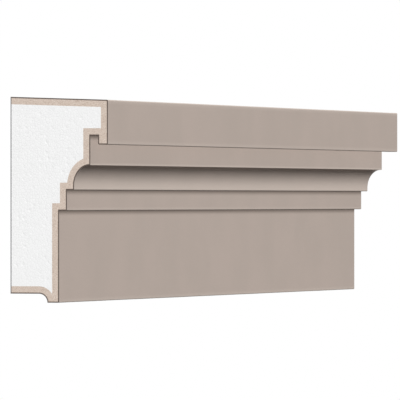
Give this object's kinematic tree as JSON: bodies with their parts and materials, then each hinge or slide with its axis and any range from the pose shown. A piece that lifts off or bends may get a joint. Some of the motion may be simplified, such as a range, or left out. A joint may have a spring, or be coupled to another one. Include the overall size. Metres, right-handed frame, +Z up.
{
  "type": "facade cornice moulding",
  "caption": "Straight length of facade cornice moulding: foam core in a mineral shell, with drip nose, cove, band and tall plain frieze.",
  "frame": {"origin": "the middle of the bare back, in the plane that is bonded to the wall, half way along the run", "axes": "+X along the run, +Y into the wall, +Z up; the moulding's front faces -Y"},
  "size_m": [1.5, 0.15, 0.3],
  "materials": {
    "foam": "rigid bead foam, hot-wire cut, white and matte",
    "mineral": "cast mineral shell, beige where it is sawn, with a matte taupe finish coat outside"
  },
  "bodies": {
    "root": {"foam_core": "foam", "mineral_shell": "mineral"}
  },
  "joints": []
}
